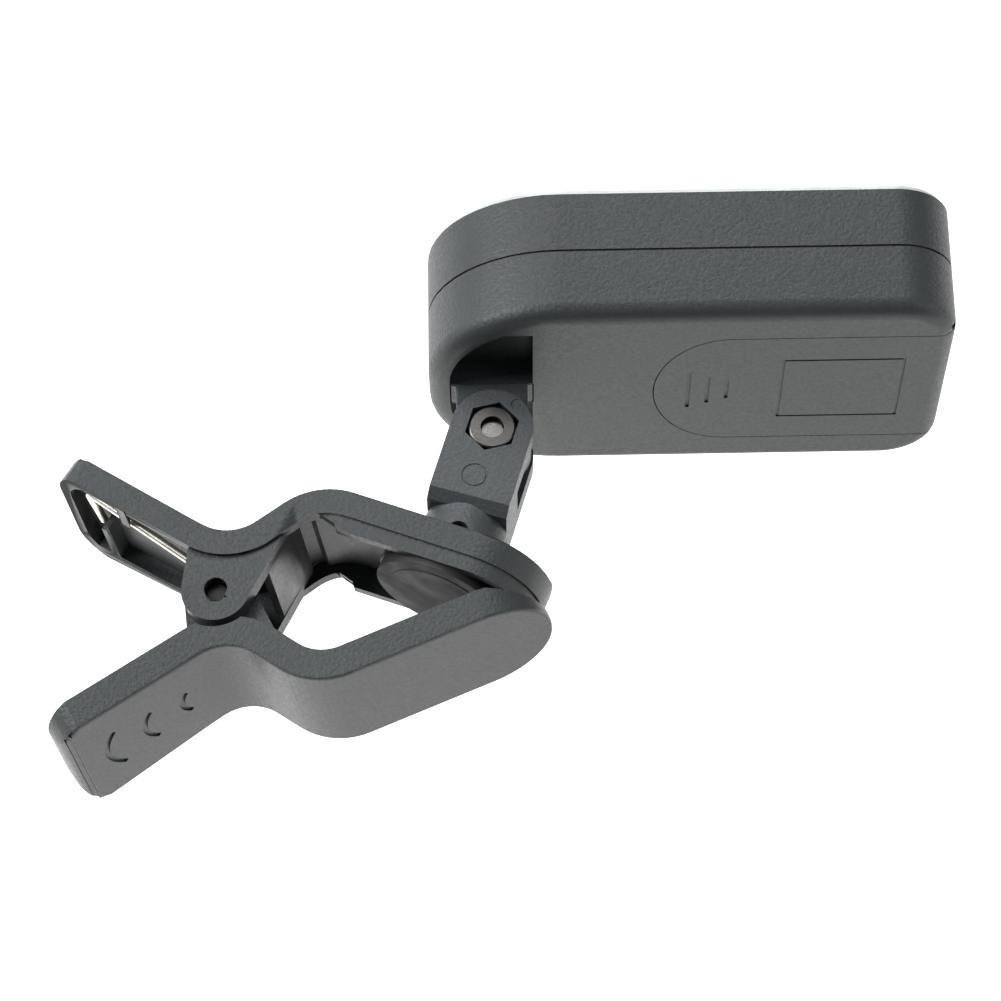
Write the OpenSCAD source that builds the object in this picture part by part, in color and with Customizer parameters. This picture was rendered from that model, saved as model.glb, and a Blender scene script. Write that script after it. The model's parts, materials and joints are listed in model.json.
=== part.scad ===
// Clip-on instrument tuner: sprung clip, swivelling and tilting neck, display head.
// Row frame: origin at the centre of the upper pad's gripping face, +Z along the jaw pivot
// axis towards the hex nut, +X from the pivot to the mouth of the clip, +Y towards the neck.

/* [Clip] */
// Width of the jaws at the mouth
mouth_w = 15.5; // [14:0.1:17]
// Width of the jaws at the ends of the handles
handle_w = 18.6; // [15.5:0.1:20]
// Angle of the upper handle to the middle plane
upper_angle = 31.9; // [31:0.1:35]
// Distance from the pivot axis to the outer face of the upper handle
upper_handle = 5.56; // [5.2:0.01:5.9]
// Distance from the pivot axis to the outer face of the upper mouth half
upper_mouth = 15.3; // [15.2:0.01:15.6]
// Angle of the lower handle to the middle plane
lower_angle = 34.5; // [31:0.1:35]
// Distance from the pivot axis to the outer face of the lower handle
lower_handle = 5.76; // [5.5:0.01:6.2]
// Distance from the pivot axis to the outer face of the lower mouth half
lower_mouth = 15.46; // [15.2:0.01:15.6]
// Angle of each mouth half to the middle plane
mouth_angle = 22; // [21:0.1:23]
// Angle of the rising web between valley and crest
rise_angle = 35.5; // [34:0.1:37]
// Distance from the pivot axis to the outer face of the rising web
rise_offset = 3.88; // [3.7:0.01:4]
// Length of a handle along its outer face, behind the pivot axis
handle_reach = 22.8; // [22:0.1:24]
// Length of a mouth half along its outer face, in front of the pivot axis
tip_reach = 31.6; // [31:0.1:32]
// Thickness of the outer plate of the upper handle
plate_t = 1.3; // [1.2:0.1:2]
// Thickness of the side walls of a jaw
wall_t = 1.3; // [1.2:0.1:1.4]
// Radius of the round pivot ears
ear_r = 3.7; // [3.6:0.05:3.8]
// Radius of the pivot pin
pin_r = 1.2; // [1.1:0.05:1.3]
// Radius of the upper pad
pad_r = 7.1; // [6:0.1:7.2]
// Depth of the upper pad's gripping face below the jaw's outer face
pad_face = 5.48; // [5:0.01:5.6]

/* [Neck] */
// Hinge axis position along X
hinge_x = 28.6; // [28:0.1:29]
// Hinge axis position along Y
hinge_y = 19.4; // [19:0.1:20]
// Lean of the swivel axis from +Y towards +X
post_lean = 16.3; // [15:0.1:18]
// Turn of the neck about the swivel axis at rest
swivel_rest = 5.7; // [0:0.1:8]
// Width of the fork across its two ears
fork_w = 10; // [9.8:0.1:10.4]
// Gap between the fork's ears
fork_gap = 4.3; // [4.2:0.05:4.5]
// Radius of the fork's round ears
fork_r = 4.45; // [4.4:0.01:4.5]
// Distance from the hinge axis to the fork's shoulder
shoulder = 8.65; // [8.5:0.05:8.8]
// Radius of the swivel barrel
barrel_r = 5.25; // [5:0.05:5.3]

/* [Head] */
// Reach of the head behind the hinge axis
head_back = 6.9; // [6.8:0.05:7]
// Reach of the head in front of the hinge axis
head_front = 50; // [49:0.1:51]
// Height of the head along the hinge axis
head_h = 34; // [33:0.1:35]
// Distance from the hinge axis to the head's back face
back_y = 6.6; // [6.5:0.05:6.8]
// Distance from the hinge axis to the seam between the casings
seam_y = 14.6; // [14.4:0.05:14.8]
// Distance from the hinge axis to the head's front face
front_y = 22.4; // [22:0.05:23]
// Corner radius at the neck end of the head
corner_neck_r = 14.5; // [14:0.1:15]
// Corner radius at the far end of the head
corner_end_r = 6.3; // [6:0.1:6.6]
// Thickness of the casing walls
case_t = 1.5; // [1.4:0.1:1.6]

/* [Battery] */
// Radius of the coin cell
cell_r = 10; // [10:0.1:10]
// Thickness of the coin cell
cell_t = 3.2; // [3.2:0.1:3.2]
// Half width of the battery door
door_half = 11.4; // [11.2:0.05:11.5]

/* [Hidden] */
$fn = 64;

run_gap = 0.05;      // radial play of every turning fit
big = 60;            // longer than any cut
arc_steps = 12;      // straight steps in a rounded corner of an outline

// ---------- plane geometry ----------

function unit(v) = v / norm(v);
function left_normal(a, b) = unit([a.y - b.y, b.x - a.x]);
// An open path moved sideways by t, to the left of its direction.
function shifted(p, t) = [for (i = [0:len(p) - 1])
    let (n1 = left_normal(p[max(i - 1, 0)], p[max(i, 1)]),
         n2 = left_normal(p[min(i, len(p) - 2)], p[min(i + 1, len(p) - 1)]))
    p[i] + t * (n1 + n2) / (1 + n1 * n2)];
// Points of the arc of radius r that rounds the corner b between a and c.
function corner(a, b, c, r) =
    let (u = unit(a - b), v = unit(c - b), half = acos(u * v) / 2,
         m = b + unit(u + v) * r / sin(half),
         s = b + u * r / tan(half) - m, e = b + v * r / tan(half) - m,
         a0 = atan2(s.y, s.x), turn = atan2(s.x * e.y - s.y * e.x, s * e))
    [for (i = [0:arc_steps]) m + r * [cos(a0 + turn * i / arc_steps), sin(a0 + turn * i / arc_steps)]];
// An open path with its inner corners rounded by the radii in r.
function rounded(p, r) = concat([p[0]],
    [for (i = [1:len(p) - 2]) each (r[i] > 0 ? corner(p[i - 1], p[i], p[i + 1], r[i]) : [p[i]])],
    [p[len(p) - 1]]);
// A closed outline with every corner rounded by the radii in r.
function rounded_loop(p, r) = [for (i = [0:len(p) - 1])
    each corner(p[(i + len(p) - 1) % len(p)], p[i], p[(i + 1) % len(p)], r[i])];
function reversed(p) = [for (i = [len(p) - 1:-1:0]) p[i]];

// ---------- jaw profile, drawn for a jaw on the +Y side of its pivot ----------

// A jaw is [handle angle, handle offset, mouth offset].
upper = [upper_angle, upper_handle, upper_mouth];
lower = [lower_angle, lower_handle, lower_mouth];
// Height at x of the line whose normal leans by a from +Y, at distance o from the pivot axis.
function line_y(a, o, x) = (o - x * sin(a)) / cos(a);
function meet_x(a, oa, b, ob) = (oa / cos(a) - ob / cos(b)) / (tan(a) - tan(b));
function crest_x(j) = meet_x(mouth_angle, j[2], -rise_angle, rise_offset);
function valley_x(j) = meet_x(j[0], j[1], -rise_angle, rise_offset);
function profile(j) = [
    j[2] * [sin(mouth_angle), cos(mouth_angle)] + tip_reach * [cos(mouth_angle), -sin(mouth_angle)],
    [crest_x(j), line_y(mouth_angle, j[2], crest_x(j))],
    [valley_x(j), line_y(j[0], j[1], valley_x(j))],
    j[1] * [sin(j[0]), cos(j[0])] + handle_reach * [-cos(j[0]), sin(j[0])]
];
valley_r = 5;
crest_r = 8;
// The profile line t inside the outer face, with its rounding.
function inset(j, t) = rounded(shifted(profile(j), t), [0, crest_r - t, valley_r + t, 0]);
// The strip of the profile between two depths, its outer corner at the handle end rounded by r.
function strip(j, t0, t1, r) =
    let (o = inset(j, t0), i = inset(j, t1), n = len(o))
    concat([for (k = [0:n - 2]) o[k]], corner(o[n - 2], o[n - 1], i[n - 1], r), reversed(i));

rim = 3;                // depth of the side walls at the handle
mouth_wall = 4.7;       // depth of the upper jaw's side walls at the mouth
lower_plate = 2;        // thickness of the lower jaw's plate
mouth_plate = 2;        // thickness of the upper jaw's plate at the mouth
lower_rim = 3.45;       // depth of the lower jaw's side walls
jaw_meet_y = -1.5;      // height at which the closed tips meet

// Local frame of a handle: origin abreast of the pivot, -X to the handle's end, +Y outwards.
module in_handle(j) {
    rotate([0, 0, -j[0]]) translate([0, j[1], 0]) children();
}
// Local frame of a mouth half: origin abreast of the pivot, +X to the tip, +Y outwards.
module in_mouth(j) {
    rotate([0, 0, -mouth_angle]) translate([0, j[2], 0]) children();
}
post_s = 20.55;         // where the swivel axis meets a mouth half
grip_x = post_s * cos(mouth_angle) + (upper_mouth - pad_face) * sin(mouth_angle);
grip_y = (upper_mouth - pad_face) * cos(mouth_angle) - post_s * sin(mouth_angle);
// The clip's own frame has its origin on the pivot axis, at mid width.
module in_clip() {
    translate([-grip_x, -grip_y, 0]) children();
}

// A flat outline in X and Z, drawn out along Y.
module plan_prism(p) {
    rotate([90, 0, 0]) linear_extrude(2 * big, center = true) polygon(p);
}
// Outline of a jaw seen square to its faces, moved in by t: it widens towards the handle.
module jaw_plan(j, t) {
    m = mouth_w / 2 - t;
    h = handle_w / 2 - t;
    tip = tip_reach - t;
    end = handle_reach - t;
    intersection() {
        plan_prism([[big, m], [8, m], [-3, m + 0.25], [-19, h], [-big, h],
            [-big, -h], [-19, -h], [-3, -m - 0.25], [8, -m], [big, -m]]);
        in_mouth(j) plan_prism(rounded_loop(
            [[tip, m], [tip - 9, m], [8, 30], [-big, 30], [-big, -30], [8, -30], [tip - 9, -m], [tip, -m]],
            [m - 0.3, 0.5, 1, 1, 1, 1, 0.5, m - 0.3]));
        in_handle(j) plan_prism(rounded_loop(
            [[-end, h], [8 - end, h], [0, 30], [big, 30], [big, -30], [0, -30], [8 - end, -h], [-end, -h]],
            [4.5 - t / 2, 0.5, 1, 1, 1, 1, 0.5, 4.5 - t / 2]));
    }
}

// Part of a jaw between two depths, inside the outline moved in by t.
module jaw_layer(j, t0, t1, t) {
    intersection() {
        linear_extrude(handle_w + 2, center = true) polygon(strip(j, t0, t1, t0 > 0 ? 0.3 : 1.8));
        jaw_plan(j, t);
    }
}
// Blank of a jaw: its plate and side walls.
module jaw_blank(j, plate, depth) {
    difference() {
        jaw_layer(j, 0, depth, 0);
        jaw_layer(j, plate, depth + 1, wall_t);
    }
}

// Teardrop ear around the pivot, seen along the pivot axis.
module ear_shape(r) {
    circle(r);
    polygon([[-r + 0.02, 0.3], [-2.9, 6.8], [1.5, 5.6], [8.4, 8.6], [7.5, 6.9], [3.3, -1.6]]);
}

module ear_pair(outer_z, thick, r) {
    for (s = [-1, 1])
        translate([0, 0, s > 0 ? outer_z - thick : -outer_z])
            linear_extrude(thick) ear_shape(r);
}

upper_ear_z = 7.4;
ear_t = 1.95;
lower_ear_z = upper_ear_z - ear_t - 0.1;
pin_half = 6.2;

// Frame of the neck: origin on the hinge axis, -Y down the swivel axis.
module in_post() {
    in_clip() translate([hinge_x, hinge_y, 0]) rotate([0, 0, -post_lean]) children();
}
module in_neck() {
    in_post() rotate([0, swivel_rest, 0]) children();
}
// Frame of the head: origin on the hinge axis, +X along the head, +Y to its front face.
module in_head() {
    in_neck() rotate([0, 0, post_lean + 0.8]) children();
}
// A cylinder along the swivel axis between two distances below the hinge axis.
module post_cylinder(r, from, to) {
    translate([0, -to, 0]) rotate([-90, 0, 0]) cylinder(h = to - from, r = r);
}

boss_top = 14.1;        // foot of the swivel barrel below the hinge axis
plate_in = 16;          // inner end of the swivel's bearing
spigot_r = 2.2;
grip_r = 5.5;           // radius of the upper pad's gripping face
pad_back = 4.1;         // depth of the upper pad's back below the jaw's outer face
rib_s = 17.5;           // place of the cross rib that holds the spring's hook
leg_z = 5.1;            // height of the spring's legs at their ends

// A cylinder square to a mouth half, between two depths, s along from the pivot.
module mouth_rod(j, s, z, r, t0, t1) {
    in_mouth(j) translate([s, -t1, z]) rotate([-90, 0, 0]) cylinder(h = t1 - t0, r = r);
}
// A block in a handle, between two places, two depths and two heights.
module handle_block(j, s0, s1, t0, t1, z0, z1) {
    in_handle(j) translate([-s1, -t1, z0]) cube([s1 - s0, t1 - t0, z1 - z0]);
}

module upper_jaw() color("#2b2f31") in_clip() {
    difference() {
        union() {
            jaw_blank(upper, plate_t, rim);
            // deeper mouth walls, set in a little from the sides
            difference() {
                intersection() {
                    jaw_layer(upper, plate_t - 0.5, mouth_wall, 0.25);
                    linear_extrude(handle_w, center = true) polygon(
                        [[crest_x(upper) - 3, big], [crest_x(upper) - 3, 11], [crest_x(upper) + 2, 7],
                         [crest_x(upper) + 4, jaw_meet_y + 0.1], [big, jaw_meet_y + 0.1], [big, big]]);
                }
                jaw_layer(upper, mouth_plate, mouth_wall + 1, wall_t);
            }
            ear_pair(upper_ear_z, ear_t, ear_r);
            // cross wall that ties the ears together behind the pivot
            linear_extrude(2 * upper_ear_z - 1, center = true)
                polygon([[8.4, 8.6], [7.5, 6.9], [5.3, 2.6], [4.3, 3.1], [6.2, 7.6]]);
            // seat of the swivel barrel, and the ring that carries the pad
            intersection() {
                mouth_rod(upper, post_s, 0, barrel_r + 0.6, 0.5, 3);
                jaw_layer(upper, 0.5, 3, 0);
            }
            difference() {
                mouth_rod(upper, post_s, 0, pad_r + 0.15, 1, pad_back);
                mouth_rod(upper, post_s, 0, pad_r - 0.7, 0, pad_back + 1);
            }
            // wide far wall, hook rib and retaining tab in the handle tray
            intersection() {
                union() {
                    handle_block(upper, 7, 22, plate_t - 0.5, rim, -handle_w / 2, 2.6 - handle_w / 2);
                    handle_block(upper, rib_s, rib_s + 1.2, plate_t - 0.5, rim, -8, -0.8);
                    handle_block(upper, rib_s, rib_s + 0.6, plate_t - 0.5, rim, -1, 0.4);
                    handle_block(upper, 13.5, 14.6, plate_t + 1.45, rim + 0.1, 4.2, 8.5);
                }
                jaw_plan(upper, 0.5);
            }
        }
        cylinder(h = big, r = pin_r + run_gap, center = true);
        // room for the spring's coil and the inner ears
        cylinder(h = 2 * (upper_ear_z - ear_t), r = ear_r + 0.35, center = true);
        // the pad sits between the walls
        mouth_rod(upper, post_s, 0, pad_r + 0.1, pad_back - 0.02, 8);
    }
}

// The upper jaw with the bearing of the swivel cut through it.
module bored_jaw() color("#2b2f31") difference() {
    upper_jaw();
    in_post() post_cylinder(spigot_r + run_gap, 0, 20);
    in_post() post_cylinder(3.5, plate_in, 18.5);
    in_post() post_cylinder(barrel_r + 0.12, 0, boss_top);
}

lower_pad_r = 4.6;
lower_pad_face = 2.6;
module lower_jaw() color("#2b2f31") in_clip() mirror([0, 1, 0]) {
    difference() {
        union() {
            jaw_blank(lower, lower_plate, lower_rim);
            ear_pair(lower_ear_z, ear_t - 0.1, ear_r);
            // cross wall between the inner ears
            linear_extrude(2 * lower_ear_z - 1, center = true)
                polygon([[8.4, 8.9], [7.3, 6.9], [5.6, 3.6], [4.6, 4.1], [6.4, 8.4]]);
        }
        cylinder(h = big, r = pin_r + run_gap, center = true);
        cylinder(h = 2 * (lower_ear_z - ear_t + 0.1), r = ear_r + 0.1, center = true);
        // play around the upper jaw's ears
        for (s = [0, 1]) mirror([0, 0, s])
            translate([0, 0, lower_ear_z + 0.02]) cylinder(h = big, r = ear_r + 1);
        translate([crest_x(lower), -jaw_meet_y - 0.1 - big, -big / 2]) cube(big);
        // crescent grip grooves in the outer face of the handle
        in_handle(lower) for (i = [0:2]) translate([4.7 * i - 19, 0, 0]) rotate([-90, 0, 0])
            crescent(5.2 - 1.1 * i);
    }
}

// One thin arc, opening towards the pivot, sunk 0.25 mm into the face it is drawn on.
module crescent(r) {
    translate([r, 0, -0.25]) intersection() {
        difference() {
            cylinder(h = 1, r = r);
            translate([0.3, 0, -1]) cylinder(h = 3, r = r - 0.35);
        }
        rotate([0, 0, 180]) linear_extrude(1) polygon([[0, 0], [r * 2, r * 2.2], [r * 2, -r * 2.2]]);
    }
}

module pivot_pin() color("silver") in_clip() cylinder(h = 2 * pin_half, r = pin_r, center = true);

// ---------- wire forms ----------

wire_r = 0.45;
coil_r = 2.4;
coil_turns = 5;
wire_sides = 8;

// Rings of points around a path, each square to the path there.
function ring(p, i, r, sides) =
    let (d = unit(p[min(i + 1, len(p) - 1)] - p[max(i - 1, 0)]),
         side = unit(cross(d, abs(d.z) < 0.8 ? [0, 0, 1] : [1, 0, 0])), up = cross(side, d))
    [for (k = [0:sides - 1]) p[i] + r * (cos(360 * k / sides) * side + sin(360 * k / sides) * up)];
module wire(p, r, sides) {
    n = len(p);
    polyhedron(
        [for (i = [0:n - 1]) each ring(p, i, r, sides)],
        concat([[for (k = [sides - 1:-1:0]) k]],
            [for (i = [0:n - 2], k = [0:sides - 1])
                [i * sides + k, i * sides + (k + 1) % sides,
                 (i + 1) * sides + (k + 1) % sides, (i + 1) * sides + k]],
            [[for (k = [0:sides - 1]) (n - 1) * sides + k]]));
}

coil_half = 2.9;
leg_len = 20;
upper_leg = 35.3;       // angle of each leg to the middle plane
lower_leg = 36.8;
// The coil starts where the upper leg leaves it and ends at the lower leg.
coil_a0 = 90 - upper_leg;
coil_a1 = 360 * coil_turns + 270 + lower_leg;
function coil_at(a) = [coil_r * cos(a), coil_r * sin(a),
    coil_half - 2 * coil_half * (a - coil_a0) / (coil_a1 - coil_a0)];
// A point of a leg, d along it from the coil and at height z; s is 1 for the upper leg.
function leg_at(s, d, z) = let (a = s > 0 ? coil_a0 : coil_a1, t = s > 0 ? upper_leg : lower_leg)
    [coil_r * cos(a) - d * cos(t), coil_r * sin(a) + s * d * sin(t), s * z];
function leg_path(s) = [
    leg_at(s, leg_len - 0.9, -0.5), leg_at(s, leg_len - 0.1, leg_z - 0.7),
    leg_at(s, leg_len - 0.5, leg_z), leg_at(s, 6, coil_half + 0.1)
];
spring_path = concat(leg_path(1), [for (a = [coil_a0:20:coil_a1]) coil_at(a)], reversed(leg_path(-1)));
module torsion_spring() color("#d9d5cf") in_clip() wire(spring_path, wire_r, wire_sides);

// The upper pad's gripping face is a slightly raised disc.
module upper_pad() color("#3a3735") in_clip() {
    mouth_rod(upper, post_s, 0, pad_r, pad_back, pad_face - 0.06);
    mouth_rod(upper, post_s, 0, grip_r, pad_back, pad_face);
}

module lower_pad() color("#3a3735") in_clip() mirror([0, 1, 0])
    mouth_rod(lower, post_s, 0, lower_pad_r, lower_plate + 0.02, lower_pad_face);

// ---------- neck ----------

hinge_r = 1.25;
nut_af = 5;
nut_t = 2;
nut_z = fork_w / 2 - 0.15 - nut_t;
screw_head_r = 2.2;

module neck_fork() color("#33383a") in_neck() difference() {
    union() {
        cylinder(h = fork_w, r = fork_r, center = true);
        rotate([0, 90, 0]) linear_extrude(2 * fork_r, center = true) polygon(
            [[fork_w / 2, 0], [fork_w / 2, -shoulder], [fork_w / 2 - 1, -shoulder - 1.2],
             [1 - fork_w / 2, -shoulder - 1.2], [-fork_w / 2, -shoulder], [-fork_w / 2, 0]]);
        translate([0, run_gap - boss_top, 0]) rotate([-90, 0, 0])
            cylinder(h = boss_top - shoulder, r1 = barrel_r, r2 = fork_r - 0.2);
        post_cylinder(spigot_r, shoulder, plate_in - run_gap);
    }
    // gap between the ears
    cylinder(h = fork_gap, r = fork_r + 0.6, center = true);
    translate([-big / 2, -5.6, -fork_gap / 2]) cube([big, big, fork_gap]);
    cylinder(h = big, r = hinge_r + run_gap, center = true);
    translate([0, 0, nut_z - 0.05]) rotate([0, 0, 30])
        cylinder(h = big, r = (nut_af + 0.2) / sqrt(3), $fn = 6);
    translate([0, 0, -fork_w / 2 - 1]) cylinder(h = 2.2, r = screw_head_r + 0.15);
    post_cylinder(1, 9, 20);
    // small arched drain at the foot of the barrel
    translate([0, -12.9, barrel_r - 1.5]) cylinder(h = 3, r = 1.1);
    translate([-1.1, -15, barrel_r - 1.5]) cube([2.2, 2.1, 3]);
    // ejector mark and gate ring on the ear
    translate([1.77, 3.27, fork_w / 2 - 0.1]) cylinder(h = 1, r = 0.6);
    translate([-0.16, -6.22, fork_w / 2 - 0.1]) difference() {
        cylinder(h = 1, r = 1.4);
        translate([0, 0, -1]) cylinder(h = 3, r = 1.2);
    }
}

module hinge_screw() color("silver") in_neck() {
    translate([0, 0, -fork_w / 2 - 0.5]) cylinder(h = 1.65, r = screw_head_r);
    translate([0, 0, -fork_w / 2]) cylinder(h = fork_w - 0.9, r = hinge_r);
}

module hinge_nut() color("silver") in_neck() translate([0, 0, nut_z]) difference() {
    rotate([0, 0, 30]) cylinder(h = nut_t, r = nut_af / sqrt(3), $fn = 6);
    translate([0, 0, -1]) cylinder(h = nut_t + 2, r = hinge_r + 0.02);
}

module swivel_screw() color("silver") in_neck() {
    post_cylinder(3.1, plate_in + run_gap, plate_in + 0.75);
    post_cylinder(0.98, 9.6, plate_in + 0.5);
}

// ---------- head ----------

// Outline of the head seen along Y, moved in by t.
function head_outline(t) = rounded_loop(
    [[head_front - t, head_h / 2 - t], [-head_back + t, head_h / 2 - t],
     [-head_back + t, -head_h / 2 + t], [head_front - t, -head_h / 2 + t]],
    [corner_end_r - t, corner_neck_r - t, corner_neck_r - t, corner_end_r - t]);
// A slab of the head's outline between two distances from the hinge axis.
module head_slab(t, y0, y1) {
    translate([0, y1, 0]) rotate([90, 0, 0]) linear_extrude(y1 - y0) polygon(head_outline(t));
}
// A box given by its limits in the head frame.
module head_box(x0, x1, y0, y1, z0, z1) {
    translate([x0, y0, z0]) cube([x1 - x0, y1 - y0, z1 - z0]);
}
// A cylinder along the head's Y axis.
module head_rod(x, z, r, y0, y1) {
    translate([x, y1, z]) rotate([90, 0, 0]) cylinder(h = y1 - y0, r = r);
}

back_round = 1.9;
lens_t = 0.7;             // thickness of the clear front cover
door_t = 1.4;
door_x = 17.8;          // neck end of the battery door
cell_x = 34;
cell_y = back_y + 1.9;
bay_floor = 12.4;
screw_x = 46;
screw_z = 8.8;
pocket_floor = 9.4;
lug_half = fork_gap / 2 - run_gap;
lug_w = 4.5;

// Outline of the battery door: a blunt arc towards the neck, straight to the far end.
function door_outline(t) = concat(
    [for (a = [90:7.5:270]) [door_x + 8.2 + (8.2 - t) * cos(a), (door_half - t) * sin(a)]],
    [[head_front + 1, -door_half + t], [head_front + 1, door_half - t]]);
module door_prism(t, y0, y1) {
    translate([0, y1, 0]) rotate([90, 0, 0]) linear_extrude(y1 - y0) polygon(door_outline(t));
}

// Outer body of the rear casing with its rounded back edge, moved in by t.
module rear_body(t) {
    hull() for (a = [0:15:90])
        head_slab(t + back_round * (1 - cos(a)), back_y + back_round * (1 - sin(a)), seam_y);
}

module rear_case() color("#2f3335") in_head() difference() {
    union() {
        difference() {
            rear_body(0);
            head_slab(case_t, back_y + case_t, seam_y + 1);
        }
        // walls of the pocket for the fork, and of the battery bay
        intersection() {
            head_slab(0.5, back_y + 1, seam_y - 0.5);
            union() {
                head_box(-head_back, lug_w + 1.3, back_y + 1, pocket_floor + 1.2, -14.4, 14.4);
                door_prism(-1.2, back_y + 1, bay_floor + 1);
            }
        }
        for (s = [-1, 1]) head_rod(screw_x, s * screw_z, 2.6, back_y + 3, seam_y - 0.1);
    }
    // pocket that lets the fork's ears turn, and the slot for the lug between them
    intersection() {
        head_slab(2.3, back_y - 1, pocket_floor);
        for (s = [-1, 1])
            head_box(-head_back, lug_w, back_y - 1, pocket_floor,
                s > 0 ? lug_half + 0.1 : -13, s > 0 ? 13 : -lug_half - 0.1);
    }
    head_box(-lug_w - 0.1, lug_w + 0.1, back_y - 1, seam_y + 1, -lug_half - 0.05, lug_half + 0.05);
    // door opening, its rails and the bay behind it
    door_prism(-0.12, back_y - 1, back_y + door_t + 0.1);
    head_box(head_front - 2.6, head_front + 1, back_y - 1, back_y + 3.2, -door_half - 0.12, door_half + 0.12);
    head_box(27, head_front + 1, back_y + 0.7, back_y + door_t + 0.1, -door_half - 0.9, door_half + 0.9);
    difference() {
        intersection() {
            door_prism(1, back_y, bay_floor);
            head_box(door_x, head_front - 3.6, back_y, bay_floor, -big, big);
        }
        for (s = [-1, 1]) head_rod(screw_x, s * screw_z, 2.6, 0, big);
    }
    // slots for the contacts
    head_box(cell_x - 7, cell_x - 3, bay_floor - 1, seam_y + 1, -1.6, 1.6);
    head_box(head_front - 5.6, head_front - 4.6, bay_floor - 1, seam_y + 1, -3.1, 3.1);
    for (s = [-1, 1]) {
        head_rod(screw_x, s * screw_z, 1.1, back_y, seam_y + 1);
        head_rod(screw_x, s * screw_z, 2, back_y, back_y + 4.6);
    }
}

window = [11.5, 41.8, -11.2, 11.2];   // display opening: x from, x to, z from, z to
button_x = 3.4;
button_z = 5.6;
button_r = 3;

module front_case() color("#2f3335") in_head() difference() {
    union() {
        difference() {
            union() {
                // the narrow foot leaves a shadow line at the seam
                head_slab(0.25, seam_y, seam_y + 1);
                head_slab(0, seam_y + 0.25, front_y - lens_t);
            }
            head_slab(case_t, seam_y - 1, front_y - case_t);
        }
        for (s = [-1, 1]) head_rod(screw_x, s * screw_z, 2.2, seam_y + 0.3, front_y - 1);
    }
    head_box(window[0], window[1], 0, front_y + 1, window[2], window[3]);
    for (s = [-1, 1]) {
        head_rod(button_x, s * button_z, button_r + 0.15, 0, front_y + 1);
        head_rod(screw_x, s * screw_z, 0.85, 0, front_y - 1.6);
    }
}

module hinge_lug() color("#33383a") in_head() difference() {
    union() {
        cylinder(h = 2 * lug_half, r = 4.2, center = true);
        head_box(-3.9, 3.9, 0, 7, -lug_half, lug_half);
        head_box(-lug_w, lug_w, back_y - 0.05, 12.6, -lug_half, lug_half);
        // foot that bears on the inside of the rear casing
        head_box(-lug_w + 0.4, lug_w - 0.4, pocket_floor + 1.25, 12.6, -7.5, 7.5);
    }
    cylinder(h = big, r = hinge_r + run_gap, center = true);
}

module battery_door() color("#353a3c") in_head() difference() {
    union() {
        intersection() {
            rear_body(0);
            union() {
                door_prism(0, back_y, back_y + door_t);
                head_box(head_front - 2.5, head_front + 1, back_y, back_y + 3.1, -door_half, door_half);
            }
        }
        // side rails
        for (s = [-1, 1])
            head_box(28, head_front - 3, back_y + 0.8, back_y + door_t,
                s > 0 ? door_half - 1 : -door_half - 0.8, s > 0 ? door_half + 0.8 : -door_half + 1);
    }
    // grip lines for the thumb, and a blank framed panel
    for (i = [0:2]) head_box(21.4 + 2.1 * i, 21.8 + 2.1 * i, back_y - 1, back_y + 0.2, -4 + i, 4 - i);
    difference() {
        head_box(31.6, 45, back_y - 1, back_y + 0.15, -6.6, 6.6);
        head_box(31.9, 44.7, back_y - 1, back_y + 1, -6.3, 6.3);
    }
}

module coin_cell() color("silver") in_head() {
    head_rod(cell_x, 0, cell_r, cell_y, cell_y + cell_t - 0.4);
    head_rod(cell_x, 0, cell_r - 1.2, cell_y + 1, cell_y + cell_t);
}

module contact_minus() color("gold") in_head() {
    head_box(cell_x - 6.8, cell_x + 3, 11.75, 12, -1.4, 1.4);
    head_box(cell_x - 6.8, cell_x - 6.5, 11.75, 14.9, -1.4, 1.4);
}

module contact_plus() color("gold") in_head() {
    head_box(head_front - 5.35, head_front - 5.1, cell_y + 0.6, 14.9, -2.8, 2.8);
    head_box(head_front - 5.9, head_front - 5.1, cell_y + 0.6, cell_y + 0.9, -2.8, 2.8);
}

board_y = 14.95;
board_t = 1;
module circuit_board() color("darkgreen") in_head() difference() {
    head_slab(case_t + 0.5, board_y, board_y + board_t);
    for (s = [-1, 1]) head_rod(screw_x, s * screw_z, 2.4, 0, big);
}

module button_switches() color("dimgray") in_head() for (s = [-1, 1]) {
    head_box(button_x - 1.6, button_x + 1.6, board_y + board_t + 0.02, board_y + board_t + 1,
        s * button_z - 1.6, s * button_z + 1.6);
    head_rod(button_x, s * button_z, 0.9, board_y + board_t + 0.9, board_y + board_t + 1.3);
}

module light_guide() color("whitesmoke") in_head()
    head_box(12.4, 42.6, 16.3, 17.6, -9.8, 9.8);

module lcd_panel() color("#8fa08c") in_head()
    head_box(12, 43, 17.9, 20.6, -12.2, 12.2);

module zebra_strip() color("pink") in_head()
    for (s = [-1, 1]) head_box(20, 40, board_y + board_t + 0.02, 17.85, s * 11 - 0.8, s * 11 + 0.8);

module display_lens() color("#20262a") in_head() difference() {
    head_slab(0.45, front_y - lens_t, front_y);
    for (s = [-1, 1]) head_rod(button_x, s * button_z, button_r + 0.15, 0, front_y + 1);
}

module piezo_disc() color("goldenrod") in_head() {
    head_rod(0.6, 0, 5, 12.65, 12.9);
    head_rod(0.6, 0, 3.4, 12.85, 13.1);
}

// Round key with a collar that keeps it in the casing; s picks its side of the head.
module key(s) in_head() {
    head_rod(button_x, s * button_z, button_r, front_y - 2.4, front_y + 0.7);
    head_rod(button_x, s * button_z, button_r + 0.6, front_y - 2.4, front_y - case_t - 0.05);
    head_rod(button_x, s * button_z, 1.2, board_y + board_t + 1.9, front_y - 2);
}
module power_button() color("#c0392b") key(1);
module mode_button() color("#404548") key(-1);

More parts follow.
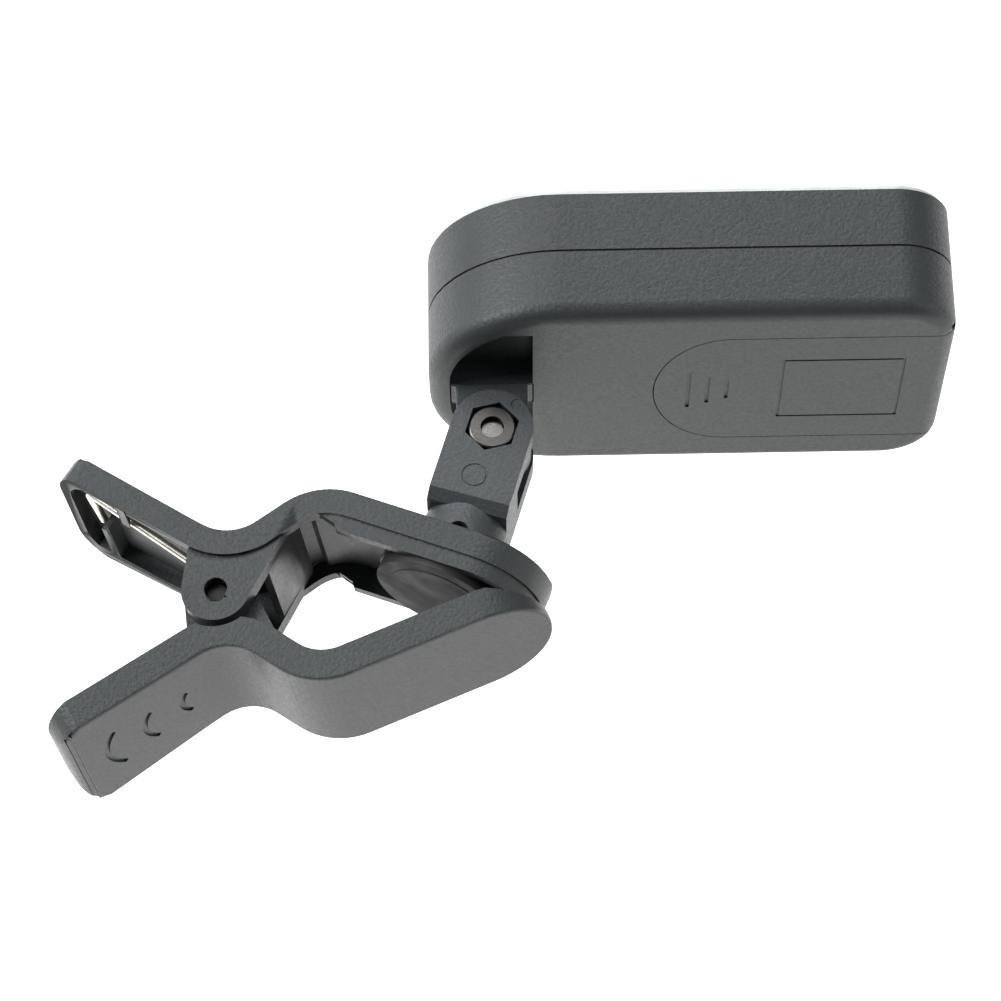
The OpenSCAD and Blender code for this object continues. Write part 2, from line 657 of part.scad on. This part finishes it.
module case_screws() color("silver") in_head() for (s = [-1, 1]) {
    head_rod(screw_x, s * screw_z, 1.8, back_y + 3.2, back_y + 4.5);
    head_rod(screw_x, s * screw_z, 0.8, back_y + 4.4, front_y - 3);
}

bored_jaw();  // upper_jaw
lower_jaw();
pivot_pin();
torsion_spring();
upper_pad();
lower_pad();
neck_fork();
hinge_screw();
hinge_nut();
swivel_screw();
rear_case();
front_case();
hinge_lug();
battery_door();
coin_cell();
contact_minus();
contact_plus();
circuit_board();
button_switches();
lcd_panel();
light_guide();
zebra_strip();
display_lens();
piezo_disc();
power_button();
mode_button();
case_screws();
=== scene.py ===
import json
import math
import bpy
import bmesh
from mathutils import Matrix, Vector


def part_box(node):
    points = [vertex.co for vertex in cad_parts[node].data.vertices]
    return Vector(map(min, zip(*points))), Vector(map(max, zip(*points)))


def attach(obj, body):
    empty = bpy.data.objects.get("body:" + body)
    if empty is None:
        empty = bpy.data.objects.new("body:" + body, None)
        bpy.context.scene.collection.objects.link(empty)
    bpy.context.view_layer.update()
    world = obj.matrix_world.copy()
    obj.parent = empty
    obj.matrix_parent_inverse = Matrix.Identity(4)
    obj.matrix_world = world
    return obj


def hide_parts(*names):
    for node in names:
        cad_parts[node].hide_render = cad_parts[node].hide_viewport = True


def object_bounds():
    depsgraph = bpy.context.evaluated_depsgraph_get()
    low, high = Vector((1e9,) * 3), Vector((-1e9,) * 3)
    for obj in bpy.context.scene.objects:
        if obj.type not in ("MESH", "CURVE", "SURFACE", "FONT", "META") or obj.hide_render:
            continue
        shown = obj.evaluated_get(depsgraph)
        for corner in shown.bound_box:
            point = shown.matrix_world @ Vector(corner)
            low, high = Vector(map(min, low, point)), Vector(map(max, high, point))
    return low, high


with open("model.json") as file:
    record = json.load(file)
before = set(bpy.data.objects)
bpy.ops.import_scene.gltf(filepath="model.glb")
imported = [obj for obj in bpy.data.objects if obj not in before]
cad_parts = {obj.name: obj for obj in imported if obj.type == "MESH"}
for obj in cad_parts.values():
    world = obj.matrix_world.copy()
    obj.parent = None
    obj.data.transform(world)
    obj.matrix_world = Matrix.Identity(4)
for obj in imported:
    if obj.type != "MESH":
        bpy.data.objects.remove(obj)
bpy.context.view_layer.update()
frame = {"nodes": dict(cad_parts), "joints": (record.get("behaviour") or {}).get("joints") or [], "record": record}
nodes = frame["nodes"]
record = frame["record"]
MM = 0.001


# ---------- axes and places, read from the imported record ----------

def joint(name):
    return next(j for j in frame["joints"] if j["name"] == name)


def middle(node):
    low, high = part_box(node)
    return (low + high) / 2


pivot = middle("pivot_pin")
swivel_axis = Vector(joint("neck_swivel")["axis"])
hinge_axis = -Vector(joint("head_tilt")["axis"]).normalized()
head_along = Vector(joint("door_slide")["axis"]).normalized()
head_front = -Vector(joint("power_press")["axis"]).normalized()
head_up = head_along.cross(head_front).normalized()


# ---------- materials ----------

# noise scales, in cells per metre, and bump depths
GRAIN_SCALE = 2600.0
PLASTIC_CLOUD_SCALE = 160.0
FINE_SCALE = 3000.0
CLOUD_SCALE = 300.0
GRAIN_DEPTH = 0.12 * MM
FINE_DEPTH = 0.04 * MM


def new_material(name):
    mat = bpy.data.materials.new(name)
    mat.use_nodes = True
    tree = mat.node_tree
    return mat, tree, tree.nodes["Principled BSDF"]


def feed(tree, value, socket):
    """Sets an input to a plain value, or links another node's output to it."""
    if isinstance(value, bpy.types.NodeSocket):
        tree.links.new(value, socket)
    else:
        socket.default_value = value


def noise(tree, scale, detail=3.0):
    """Noise over the object's own coordinates."""
    place = tree.nodes.new("ShaderNodeTexCoord")
    made = tree.nodes.new("ShaderNodeTexNoise")
    made.inputs["Scale"].default_value = scale
    made.inputs["Detail"].default_value = detail
    tree.links.new(place.outputs["Object"], made.inputs["Vector"])
    return made.outputs["Fac"]


def span(tree, source, low, high, from_low=0.3, from_high=0.7):
    """Carries a value from one range to another, and holds it at the ends."""
    made = tree.nodes.new("ShaderNodeMapRange")
    made.inputs["From Min"].default_value = from_low
    made.inputs["From Max"].default_value = from_high
    made.inputs["To Min"].default_value = low
    made.inputs["To Max"].default_value = high
    tree.links.new(source, made.inputs["Value"])
    return made.outputs["Result"]


def squareness(tree, axis):
    """0 where a face runs along the axis, 1 where it is square to it."""
    place = tree.nodes.new("ShaderNodeTexCoord")
    along = tree.nodes.new("ShaderNodeVectorMath")
    along.operation = "DOT_PRODUCT"
    along.inputs[1].default_value = axis
    tree.links.new(place.outputs["Normal"], along.inputs[0])
    size = tree.nodes.new("ShaderNodeMath")
    size.operation = "ABSOLUTE"
    tree.links.new(along.outputs["Value"], size.inputs[0])
    return size.outputs["Value"]


def colour_mix(tree, blend, factor, first, second):
    made = tree.nodes.new("ShaderNodeMix")
    made.data_type = "RGBA"
    made.blend_type = blend
    feed(tree, factor, made.inputs["Factor"])
    feed(tree, first, made.inputs["A"])
    feed(tree, second, made.inputs["B"])
    return made.outputs["Result"]


def add_bump(tree, bsdf, height, depth, strength):
    bump = tree.nodes.new("ShaderNodeBump")
    bump.inputs["Distance"].default_value = depth
    feed(tree, strength, bump.inputs["Strength"])
    tree.links.new(height, bump.inputs["Height"])
    tree.links.new(bump.outputs["Normal"], bsdf.inputs["Normal"])


def plastic(name, colour, side_colour_and_painted_light, rough, side_rough, grain, side_grain, side_axis):
    """Moulded plastic with one finish on the faces square to side_axis and another on the rest; the two colours
    also hold painted light and shade, as part of their difference stands for how the light falls on faces that
    point different ways.
    """
    mat, tree, bsdf = new_material(name)
    side = span(tree, squareness(tree, side_axis), 0.0, 1.0, 0.45, 0.9)
    fine = noise(tree, GRAIN_SCALE)
    # painted light and shade: the faces square to side_axis get their own colour, which stands partly for how the
    # light falls on them
    both = colour_mix(tree, "MIX", side, (*colour, 1), (*side_colour_and_painted_light, 1))
    tone = span(tree, noise(tree, PLASTIC_CLOUD_SCALE, 2.0), 0.94, 1.06)
    tree.links.new(colour_mix(tree, "MULTIPLY", 1.0, both, tone), bsdf.inputs["Base Color"])
    total = tree.nodes.new("ShaderNodeMath")
    tree.links.new(span(tree, side, rough, side_rough, 0.0, 1.0), total.inputs[0])
    tree.links.new(span(tree, fine, -0.08, 0.08), total.inputs[1])
    tree.links.new(total.outputs["Value"], bsdf.inputs["Roughness"])
    add_bump(tree, bsdf, fine, GRAIN_DEPTH, span(tree, side, grain, side_grain, 0.0, 1.0))
    return mat


def plain(name, colour, rough, metal=0.0, grain=0.1):
    """One even finish with a little unevenness in its tone, sheen and surface."""
    mat, tree, bsdf = new_material(name)
    cloud = noise(tree, CLOUD_SCALE)
    tone = span(tree, cloud, 0.9, 1.1)
    tree.links.new(colour_mix(tree, "MULTIPLY", 1.0, (*colour, 1), tone), bsdf.inputs["Base Color"])
    tree.links.new(span(tree, cloud, rough * 0.8, rough * 1.2), bsdf.inputs["Roughness"])
    add_bump(tree, bsdf, noise(tree, FINE_SCALE), FINE_DEPTH, grain)
    bsdf.inputs["Metallic"].default_value = metal
    return mat


def clear_cover(name, facing):
    """Clear sheet whose cut edges look pale and cloudy."""
    mat = plain(name, (0.62, 0.66, 0.66), 0.10, 0.0, 0.0)
    tree = mat.node_tree
    bsdf = tree.nodes["Principled BSDF"]
    clear = span(tree, squareness(tree, facing), 0.0, 1.0, 0.7, 0.95)
    tree.links.new(clear, bsdf.inputs["Transmission Weight"])
    bsdf.inputs["IOR"].default_value = 1.4
    return mat


# each plastic's second colour goes on the faces square to its axis. Besides the real finish it holds painted light
# and shade: the neck's near faces are painted lighter, and the head's front and back and the clip's flat sides are
# painted darker
MATERIALS = {
    "clip_plastic": plastic("clip_plastic", (0.041, 0.043, 0.043), (0.034, 0.040, 0.043),
                            0.40, 0.52, 0.06, 0.9, (0, 0, 1)),
    "neck_plastic": plastic("neck_plastic", (0.026, 0.031, 0.034), (0.057, 0.065, 0.069),
                            0.45, 0.5, 0.3, 0.6, tuple(hinge_axis)),
    "case_plastic": plastic("case_plastic", (0.034, 0.040, 0.043), (0.026, 0.031, 0.032),
                            0.50, 0.45, 0.7, 0.10, tuple(head_front)),
    "lens_plastic": clear_cover("lens_plastic", tuple(head_front)),
}
# colour, roughness, metal and grain of the even finishes
for name, finish in {
    "steel": ((0.16, 0.155, 0.15), 0.30, 1.0, 0.5),
    "nut_steel": ((0.085, 0.083, 0.080), 0.34, 1.0, 0.5),
    "dark_steel": ((0.012, 0.012, 0.012), 0.5, 0.5, 0.3),
    "spring_steel": ((0.92, 0.88, 0.79), 0.34, 1.0),
    "pad_rubber": ((0.022, 0.022, 0.023), 0.65, 0.0, 0.30),
    "cell_steel": ((0.72, 0.72, 0.70), 0.25, 1.0),
    "contact_metal": ((0.78, 0.66, 0.40), 0.30, 1.0),
    "board_green": ((0.02, 0.14, 0.06), 0.35, 0.0, 0.20),
    "switch_plastic": ((0.02, 0.02, 0.02), 0.5),
    "lcd_glass": ((0.30, 0.35, 0.28), 0.25, 0.0, 0.02),
    "guide_acrylic": ((0.80, 0.83, 0.85), 0.3),
    "zebra_rubber": ((0.62, 0.36, 0.36), 0.6),
    "piezo_brass": ((0.76, 0.58, 0.28), 0.3, 1.0),
    "key_plastic": ((0.03, 0.032, 0.034), 0.35),
    "lcd_ink": ((0.02, 0.025, 0.02), 0.5),
}.items():
    MATERIALS[name] = plain(name, *finish)
slots = {part["node"]: part["material_slot"] for part in record["subparts"]}
for name, obj in nodes.items():
    obj.data.materials.clear()
    obj.data.materials.append(MATERIALS["dark_steel" if name == "pivot_pin" else slots[name]])


# ---------- softened edges on the CAD nodes ----------

WELD_DISTANCE = 0.001 * MM
FLAT_ANGLE = math.radians(0.5)      # neighbouring faces that turn less than this become one
EDGE_ANGLE = math.radians(32)       # edges sharper than this are softened
BEVEL_STEPS = 2
JAW_EDGE = 0.12 * MM
JAW_RIM = 0.38 * MM
RIM_LENGTH = 15 * MM                # how far behind the pivot the rim's wider bevel goes
SHORTEST_SIDE = 1.5 * MM
SAME_POINT = 0.005 * MM


def rim_group(name, outward):
    """Vertex group of the rim round a jaw's outer face; outward is 1 for the upper jaw."""
    obj = nodes[name]
    mesh = obj.data
    corners = {}
    for face in mesh.polygons:
        points = [mesh.vertices[i].co for i in face.vertices]
        longest = max((p - q).length for p in points for q in points)
        outer = face.normal.y * outward > 0.75 and abs(face.normal.z) < 0.1
        side = not outer and longest > SHORTEST_SIDE
        for i, point in zip(face.vertices, points):
            key = tuple(round(c / SAME_POINT) for c in point)
            seen = corners.setdefault(key, [False, False, []])
            seen[0] |= outer
            seen[1] |= side
            seen[2].append(i)
    group = obj.vertex_groups.new(name="rim")
    for outer, side, members in corners.values():
        if outer and side and mesh.vertices[members[0]].co.x > pivot.x - RIM_LENGTH:
            group.add(members, 1.0, "REPLACE")


def soften(name, width, rim=0.0):
    """Bevels a node's sharp edges, and its rim group more widely if it has one."""
    obj = nodes[name]
    weld = obj.modifiers.new("weld", "WELD")
    weld.merge_threshold = WELD_DISTANCE
    flat = obj.modifiers.new("flat", "DECIMATE")
    flat.decimate_type = "DISSOLVE"
    flat.angle_limit = FLAT_ANGLE
    if rim:
        edge = obj.modifiers.new("rim", "BEVEL")
        edge.limit_method = "VGROUP"
        edge.vertex_group = "rim"
        edge.width = rim
        edge.segments = BEVEL_STEPS
        edge.use_clamp_overlap = False
    bevel = obj.modifiers.new("bevel", "BEVEL")
    bevel.width = width
    bevel.segments = BEVEL_STEPS
    bevel.limit_method = "ANGLE"
    bevel.angle_limit = EDGE_ANGLE
    bevel.harden_normals = True
    bevel.use_clamp_overlap = True
    normal = obj.modifiers.new("normal", "WEIGHTED_NORMAL")
    normal.keep_sharp = True
    for face in obj.data.polygons:
        face.use_smooth = True


for name, width in {
    "neck_fork": 0.18, "rear_case": 0.12, "front_case": 0.3, "battery_door": 0.1, "hinge_lug": 0.2,
    "upper_pad": 0.35, "lower_pad": 0.2, "pivot_pin": 0.15, "hinge_screw": 0.12, "swivel_screw": 0.12,
    "coin_cell": 0.2, "power_button": 0.3, "mode_button": 0.3, "display_lens": 0.06,
}.items():
    soften(name, width * MM)
for name, outward in {"upper_jaw": 1, "lower_jaw": -1}.items():
    rim_group(name, outward)
    soften(name, JAW_EDGE, JAW_RIM)


# ---------- new pieces ----------

def make(name, verts, faces, slot, body, replaces=(), angle=30, finish=None):
    """A piece that rides on a body; finish names its material where that isn't its slot's own."""
    mesh = bpy.data.meshes.new(name)
    mesh.from_pydata([tuple(v) for v in verts], [], faces)
    mesh.validate()
    work = bmesh.new()
    work.from_mesh(mesh)
    bmesh.ops.remove_doubles(work, verts=work.verts, dist=1e-7)
    bmesh.ops.recalc_face_normals(work, faces=work.faces)
    for edge in work.edges:
        if len(edge.link_faces) == 2 and edge.calc_face_angle(0) > math.radians(angle):
            edge.smooth = False
    work.to_mesh(mesh)
    work.free()
    for face in mesh.polygons:
        face.use_smooth = True
    obj = bpy.data.objects.new(name, mesh)
    bpy.context.scene.collection.objects.link(obj)
    mesh.materials.append(MATERIALS[finish or slot])
    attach(obj, body)
    if replaces:
        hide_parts(*replaces)


# rings that round off a wire's end: how far past it and how wide, in wire radii
WIRE_END = [(0.27, 0.88), (0.42, 0.60)]


def tube(path, radius, sides=20):
    """Skin of a round wire along a path, with rounded ends."""
    points = [Vector(p) for p in path]
    side = (points[1] - points[0]).normalized().orthogonal().normalized()
    verts, faces, rings = [], [], []
    for i, point in enumerate(points):
        ahead = (points[min(i + 1, len(points) - 1)] - points[max(i - 1, 0)]).normalized()
        side = (side - side.dot(ahead) * ahead).normalized()
        other = ahead.cross(side)
        before = [(-past, wide) for past, wide in reversed(WIRE_END)] if i == 0 else []
        after = WIRE_END if i == len(points) - 1 else []
        for past, wide in before + [(0.0, 1.0)] + after:
            rings.append(len(verts))
            for k in range(sides):
                a = 2 * math.pi * k / sides
                verts.append(point + ahead * past * radius
                             + radius * wide * (math.cos(a) * side + math.sin(a) * other))
    for a, b in zip(rings, rings[1:]):
        for k in range(sides):
            j = (k + 1) % sides
            faces.append((a + k, a + j, b + j, b + k))
    faces.append(tuple(rings[0] + k for k in reversed(range(sides))))
    faces.append(tuple(rings[-1] + k for k in range(sides)))
    return verts, faces


def bend(path, radius, steps=8):
    """The path with its inner corners turned into arcs."""
    points = [Vector(p) for p in path]
    out = [points[0]]
    for before, at, after in zip(points, points[1:], points[2:]):
        u, v = (before - at).normalized(), (after - at).normalized()
        reach = min(radius, (before - at).length * 0.45, (after - at).length * 0.45)
        for i in range(steps + 1):
            t = i / steps
            out.append((1 - t) ** 2 * (at + u * reach) + 2 * t * (1 - t) * at + t * t * (at + v * reach))
    return out + [points[-1]]


# the spring, in mm about the pivot, to the sizes of the CAD node that it replaces
WIRE_R = 0.45
COIL_R = 2.4
COIL_HALF = 2.9
COIL_TURNS = 5
COIL_STEPS = 220
LEG_LENGTH = 20
LEG_HEIGHT = 5.1
BEND_R = 0.9
UPPER_LEG = math.radians(35.3)
LOWER_LEG = math.radians(36.8)


def leg(sign, lean):
    """Corners of one leg, from the coil to the hook at its end; sign is 1 for the upper leg."""
    start = Vector((COIL_R * math.sin(lean), sign * COIL_R * math.cos(lean), 0))
    along = Vector((-math.cos(lean), sign * math.sin(lean), 0))
    corners = [(0.8, COIL_HALF), (6, COIL_HALF + 0.1), (LEG_LENGTH, LEG_HEIGHT), (LEG_LENGTH - 0.9, -0.5)]
    return [start + along * distance + Vector((0, 0, sign * height)) for distance, height in corners]


def coil_point(share):
    """A point of the coil; share runs from 0 at the upper leg to 1 at the lower leg."""
    start = math.pi / 2 - UPPER_LEG
    end = 2 * math.pi * COIL_TURNS + 1.5 * math.pi + LOWER_LEG
    angle = start + (end - start) * share
    return Vector((COIL_R * math.cos(angle), COIL_R * math.sin(angle), COIL_HALF * (1 - 2 * share)))


def spring_piece(name, path, body, replaces=()):
    make(name, *tube([pivot + Vector(p) * MM for p in path], WIRE_R * MM), "spring_steel", body, replaces)


coil = [coil_point(i / COIL_STEPS) for i in range(COIL_STEPS + 1)]
upper_leg = bend(list(reversed(leg(1, UPPER_LEG))), BEND_R)
spring_piece("spring_coil", upper_leg + coil, "upper_jaw", ["torsion_spring"])
lower_leg = bend([coil[-1]] + leg(-1, LOWER_LEG), BEND_R)
spring_piece("spring_lower_leg", lower_leg, "lower_jaw")

NUT_FLATS = 5 * MM
NUT_THICK = 2 * MM
NUT_BORE_R = 1.27 * MM
NUT_FACE_R = 0.47 * NUT_FLATS       # radius of the flat ring inside the chamfer
NUT_CHAMFER = math.radians(32)
NUT_STEPS = 96


def chamfered_nut():
    """Hex nut about Z with both faces chamfered, drawn round its circumference in small steps."""
    verts, faces = [], []
    for k in range(NUT_STEPS):
        a = 2 * math.pi * k / NUT_STEPS
        wide = NUT_FLATS / 2 / math.cos((a + math.pi / 6) % (math.pi / 3) - math.pi / 6)
        drop = max(0.0, wide - NUT_FACE_R) * math.tan(NUT_CHAMFER)
        for r, z in [(NUT_BORE_R, 0), (NUT_FACE_R, 0), (wide, drop),
                     (wide, NUT_THICK - drop), (NUT_FACE_R, NUT_THICK), (NUT_BORE_R, NUT_THICK)]:
            verts.append(Vector((r * math.cos(a), r * math.sin(a), z - NUT_THICK / 2)))
    for k in range(NUT_STEPS):
        a, b = 6 * k, 6 * ((k + 1) % NUT_STEPS)
        for j in range(6):
            n = (j + 1) % 6
            faces.append((a + j, b + j, b + n, a + n))
    return verts, faces


nut_verts, nut_faces = chamfered_nut()
nut_side = hinge_axis.cross(swivel_axis).normalized()
nut_turn = Matrix((nut_side.cross(hinge_axis), nut_side, hinge_axis)).transposed()
make("nut", [middle("hinge_nut") + nut_turn @ v for v in nut_verts], nut_faces,
     "steel", "neck", ["hinge_nut"], angle=18, finish="nut_steel")


# ---------- marks on the display, in mm ----------

MARK_THICK = 0.03
MARK_LIFT = 1.37            # from the middle of the display panel to the marks
SCALE_DROP = 12             # from the middle of the panel down to the centre of the scale
TICKS = 10                  # on each side of the middle one
LONG_TICK_EVERY = 5
TICK_STEP = math.radians(4)
DASH = (1.8, 1.0)
DASH_UP = -9.2


def flat_bars(bars, face, thick):
    """Thin flat quadrilaterals on the display; each bar is four (along, up) corners."""
    verts, faces = [], []
    for bar in bars:
        base = len(verts)
        for lift in (0.0, thick):
            for x, z in bar:
                verts.append(face + (head_along * x + head_up * z + head_front * lift) * MM)
        faces.append(tuple(base + i for i in (4, 5, 6, 7)))
        for i in range(4):
            j = (i + 1) % 4
            faces.append((base + i, base + j, base + 4 + j, base + 4 + i))
    return verts, faces


def radial(a, r0, r1, half):
    """A tick, an arc's piece or the needle of the round scale."""
    corners = []
    for r, t in ((r0, a - half), (r1, a - half), (r1, a + half), (r0, a + half)):
        corners.append((r * math.sin(t), r * math.cos(t) - SCALE_DROP))
    return corners


def dash(x):
    """A short dash under the scale."""
    wide, tall = DASH
    return [(x, DASH_UP), (x + wide, DASH_UP), (x + wide, DASH_UP + tall), (x, DASH_UP + tall)]


ticks = [radial(TICK_STEP * i, 17.2, 19.4 if i % LONG_TICK_EVERY else 20.4, math.radians(0.55))
         for i in range(-TICKS, TICKS + 1)]
arc = [radial(TICK_STEP / 2 * i, 16.2, 16.6, math.radians(1)) for i in range(-2 * TICKS, 2 * TICKS + 1)]
needle = [radial(0, 6, 15.4, math.radians(1.2))]
dashes = [dash(x) for x in (-13, -10.6, -8.2, 6.4, 8.8, 11.2)]
marks_at = middle("lcd_panel") + head_front * MARK_LIFT * MM
make("display_marks", *flat_bars(ticks + arc + needle + dashes, marks_at, MARK_THICK), "lcd_ink", "head")


# ---------- light, floor and camera ----------

FLOOR_REACH = 3.0
FLOOR_DROP = 42 * MM        # leaves room for the head when it swivels down
SKY_SEEN = 1.0              # strength of the sky as the camera sees it
SKY_LIGHT = 0.12            # and as it lights the object

floor_mesh = bpy.data.meshes.new("floor")
floor_mesh.from_pydata([(-FLOOR_REACH, -FLOOR_REACH, 0), (FLOOR_REACH, -FLOOR_REACH, 0),
                        (FLOOR_REACH, FLOOR_REACH, 0), (-FLOOR_REACH, FLOOR_REACH, 0)], [], [(0, 1, 2, 3)])
floor = bpy.data.objects.new("floor", floor_mesh)
floor.location.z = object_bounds()[0].z - FLOOR_DROP
bpy.context.scene.collection.objects.link(floor)
floor_mat, _, floor_bsdf = new_material("floor")
floor_bsdf.inputs["Base Color"].default_value = (0.9, 0.9, 0.9, 1)
floor_bsdf.inputs["Roughness"].default_value = 0.9
floor_bsdf.inputs["Emission Color"].default_value = (1, 1, 1, 1)
floor_bsdf.inputs["Emission Strength"].default_value = 0.75
floor_mesh.materials.append(floor_mat)

world = bpy.data.worlds.new("studio")
bpy.context.scene.world = world
world.use_nodes = True
sky = world.node_tree
rays = sky.nodes.new("ShaderNodeLightPath")
sky_strength = span(sky, rays.outputs["Is Camera Ray"], SKY_LIGHT, SKY_SEEN, 0.0, 1.0)
sky.links.new(sky_strength, sky.nodes["Background"].inputs["Strength"])
sky.nodes["Background"].inputs["Color"].default_value = (1, 1, 1, 1)


def softbox(name, place, size, power):
    """A rectangular light aimed at the middle of the object; place is from there."""
    light = bpy.data.lights.new(name, "AREA")
    light.shape = "RECTANGLE"
    light.size, light.size_y = size
    light.energy = power
    obj = bpy.data.objects.new(name, light)
    bpy.context.scene.collection.objects.link(obj)
    aim = pivot + Vector((30, 12, 0)) * MM
    obj.location = aim + Vector(place)
    obj.rotation_mode = "QUATERNION"
    obj.rotation_quaternion = (aim - obj.location).to_track_quat("-Z", "Y")


softbox("left_box", (-0.50, 0.10, 0.50), (0.45, 0.45), 5.5)
softbox("back_box", (0.00, 0.50, 0.65), (0.6, 0.4), 3.5)
softbox("right_box", (0.55, -0.10, 0.30), (0.3, 0.3), 0.8)

AZIMUTH, ELEVATION, ROLL = math.radians(11.14), math.radians(61.74), math.radians(-12.54)
CAMERA_DISTANCE = 383.5 * MM
CAMERA_TARGET = Vector((29.47, 12.75, 0)) * MM      # from the pivot

back = Vector((math.sin(AZIMUTH) * math.cos(ELEVATION), -math.cos(AZIMUTH) * math.cos(ELEVATION),
               math.sin(ELEVATION)))
level = Vector((math.cos(AZIMUTH), math.sin(AZIMUTH), 0))
right = level * math.cos(ROLL) + back.cross(level) * math.sin(ROLL)
turn = Matrix((right, back.cross(right), back)).transposed().to_4x4()
camera = bpy.data.cameras.new("camera")
camera.sensor_width = 36
camera.lens = 127.4
camera.clip_start, camera.clip_end = 0.01, 20
eye = bpy.data.objects.new("camera", camera)
bpy.context.scene.collection.objects.link(eye)
eye.matrix_world = Matrix.Translation(pivot + CAMERA_TARGET + back * CAMERA_DISTANCE) @ turn
bpy.context.scene.camera = eye
bpy.context.scene.view_settings.view_transform = "Standard"
